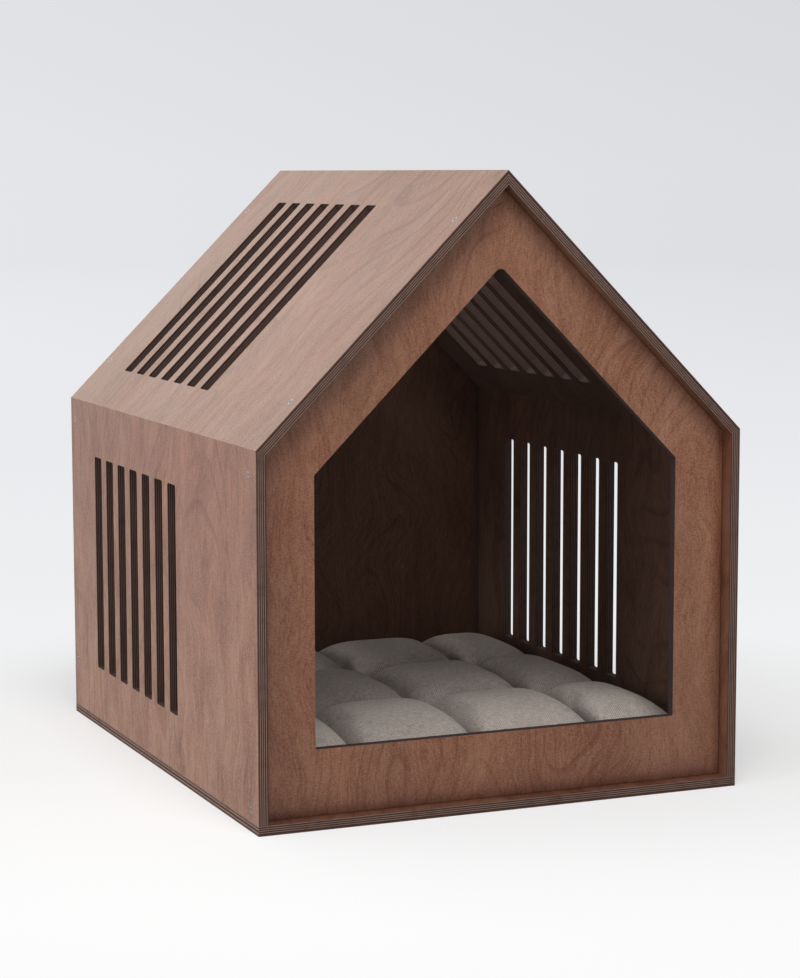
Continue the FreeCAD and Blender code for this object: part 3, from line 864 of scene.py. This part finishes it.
# What mirrored rays see of the floor's own colour, and the colour that other rays meet.
MIRRORED_SHARE = 0.9
UNSEEN_FLOOR = (0.75, 0.75, 0.75, 1.0)
WORLD_LIGHT = 0.19


def seen_share(graph, rays):
    """1 for the rays that show a background to the eye, directly or through a surface."""
    seen = graph.math("MAXIMUM", rays.outputs["Is Camera Ray"], rays.outputs["Is Glossy Ray"])
    return graph.math("MAXIMUM", seen, rays.outputs["Is Transmission Ray"])


def choose(graph, share, first, second):
    """Ends a tree in the first shader, or in the second where the share is 1."""
    chosen = graph.add("MixShader")
    graph.join(share, chosen.inputs[0])
    graph.join(first.outputs[0], chosen.inputs[1])
    graph.join(second.outputs[0], chosen.inputs[2])
    graph.join(chosen.outputs[0], graph.output.inputs["Surface"])


floor_corners = ((-1, -1), (1, -1), (1, 1), (-1, 1))
floor_mesh = bpy.data.meshes.new("studio_floor")
floor_mesh.from_pydata(
    [(across * FLOOR_REACH, along * FLOOR_REACH, 0.0) for across, along in floor_corners],
    [],
    [(0, 1, 2, 3)],
)
studio_floor = bpy.data.objects.new("studio_floor", floor_mesh)
scene.collection.objects.link(studio_floor)
material, graph = new_material("studio_floor")
place = graph.place.outputs["Object"]
rays = graph.add("LightPath")
away = graph.plus(graph.dot(place, AWAY), FALL_START)
own = graph.ramp(graph.math("DIVIDE", away, FALL_LENGTH), FLOOR_COLOURS)
mirrored = graph.minus(1.0, graph.times(rays.outputs["Is Glossy Ray"], 1 - MIRRORED_SHARE))
own = graph.stained(own, graph.grey(mirrored))
sideways = graph.math("DIVIDE", graph.dot(place, SIDEWAYS), graph.plus(away, SEEN_FROM))
far = graph.step(away, *FAR_REACH, 0.0, SIDE_FALL)
own = graph.stained(own, graph.grey(graph.minus(1.0, graph.times(sideways, far))))
length = graph.add("VectorMath", operation="LENGTH")
graph.join(place, length.inputs[0])
shadowed = graph.step(length.outputs["Value"], *LIT_REACH, FLOOR_SHARE, 0.0)
lit = graph.add("BsdfDiffuse")
lit_colour = graph.stained(own, graph.grey(graph.times(shadowed, LIT_GAIN)))
graph.join(lit_colour, lit.inputs["Color"])
glow = graph.add("Emission")
graph.join(own, glow.inputs["Color"])
graph.join(graph.minus(1.0, shadowed), glow.inputs["Strength"])
both = graph.add("AddShader")
graph.join(lit.outputs[0], both.inputs[0])
graph.join(glow.outputs[0], both.inputs[1])
plain = graph.add("BsdfDiffuse")
plain.inputs["Color"].default_value = UNSEEN_FLOOR
choose(graph, seen_share(graph, rays), plain, both)
cover(studio_floor, material)

# The world: even white light, and a pale grey background where it is seen.
world = bpy.data.worlds.new("studio_world")
scene.world = world
world.use_nodes = True
graph = Graph(world.node_tree, "OutputWorld")
direction = graph.place.outputs["Generated"]
seen_colour = graph.ramp(graph.dot(direction, Z_AXIS), BACKGROUND_COLOURS)
side_fall = graph.minus(1.0, graph.times(graph.dot(direction, SIDEWAYS), SIDE_FALL))
seen_colour = graph.stained(seen_colour, graph.grey(side_fall))
light = graph.add("Background")
light.inputs["Color"].default_value = WHITE
light.inputs["Strength"].default_value = WORLD_LIGHT
shown = graph.add("Background")
graph.join(seen_colour, shown.inputs["Color"])
choose(graph, seen_share(graph, graph.add("LightPath")), light, shown)


def soft_lamp(name, at, size, power, colour=(1.0, 1.0, 1.0)):
    """A square lamp that faces the middle of the object."""
    data = bpy.data.lights.new(name, "AREA")
    data.size = size
    data.energy = power
    data.color = colour
    lamp = bpy.data.objects.new(name, data)
    lamp.location = at
    aim = Vector(LAMP_AIM) - Vector(at)
    lamp.rotation_euler = aim.to_track_quat("-Z", "Y").to_euler()
    scene.collection.objects.link(lamp)


WARM = (1.0, 0.94, 0.86)
soft_lamp("key_lamp", (-0.5, -1.9, 3.5), 1.6, 87.0)
soft_lamp("top_lamp", (-2.4, 0.4, 3.5), 2.6, 25.0)
soft_lamp("side_lamp", (-4.6, -1.6, 0.8), 2.2, 108.0)
soft_lamp("back_lamp", (-0.7, 4.4, 2.4), 2.6, 36.0, WARM)
soft_lamp("low_lamp", (-2.8, 4.6, 0.8), 1.6, 22.0, WARM)

camera_data = bpy.data.cameras.new("camera")
camera_data.sensor_width = SENSOR
camera_data.lens = FOCAL_PIXELS / FRAME_HEIGHT * SENSOR
camera_data.clip_end = 200.0
camera = bpy.data.objects.new("camera", camera_data)
camera.location = CAMERA_AT
camera.rotation_euler = (
    math.radians(90 - CAMERA_DIP),
    math.radians(CAMERA_ROLL),
    math.radians(-CAMERA_YAW),
)
scene.collection.objects.link(camera)
scene.camera = camera

scene.view_settings.view_transform = "Standard"
